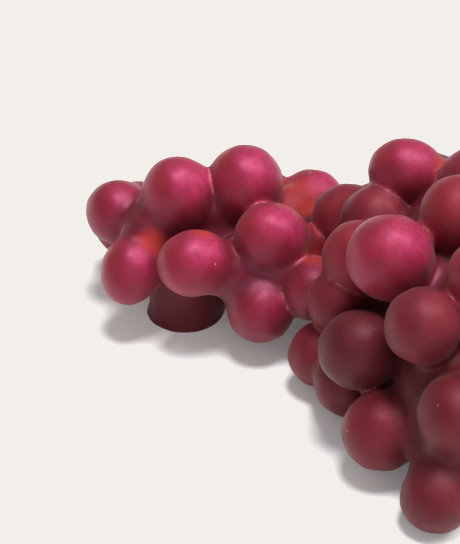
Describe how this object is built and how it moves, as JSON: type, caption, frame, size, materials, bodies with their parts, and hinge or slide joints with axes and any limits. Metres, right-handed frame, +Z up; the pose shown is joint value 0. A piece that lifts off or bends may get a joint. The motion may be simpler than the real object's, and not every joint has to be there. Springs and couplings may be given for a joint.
{
  "type": "cast decorative bunch of grapes",
  "caption": "Cast decorative bunch of grapes lying on a table: oval red berries run into one another round a solid middle, with a cut woody stem at the back.",
  "frame": {"origin": "middle of the footprint, on the table that the bunch lies on", "axes": "+Z up; +Y from the tip of the bunch towards its stem; the long shoulder points to -X"},
  "size_m": [0.1853, 0.1997, 0.0784],
  "materials": {
    "grape_skin": "satin crimson with a pearly pink coat, orange-red where the coat is thin",
    "stem_wood": "dry woody stalk"
  },
  "bodies": {
    "root": {"grapes": "grape_skin", "stem": "stem_wood"}
  },
  "joints": []
}
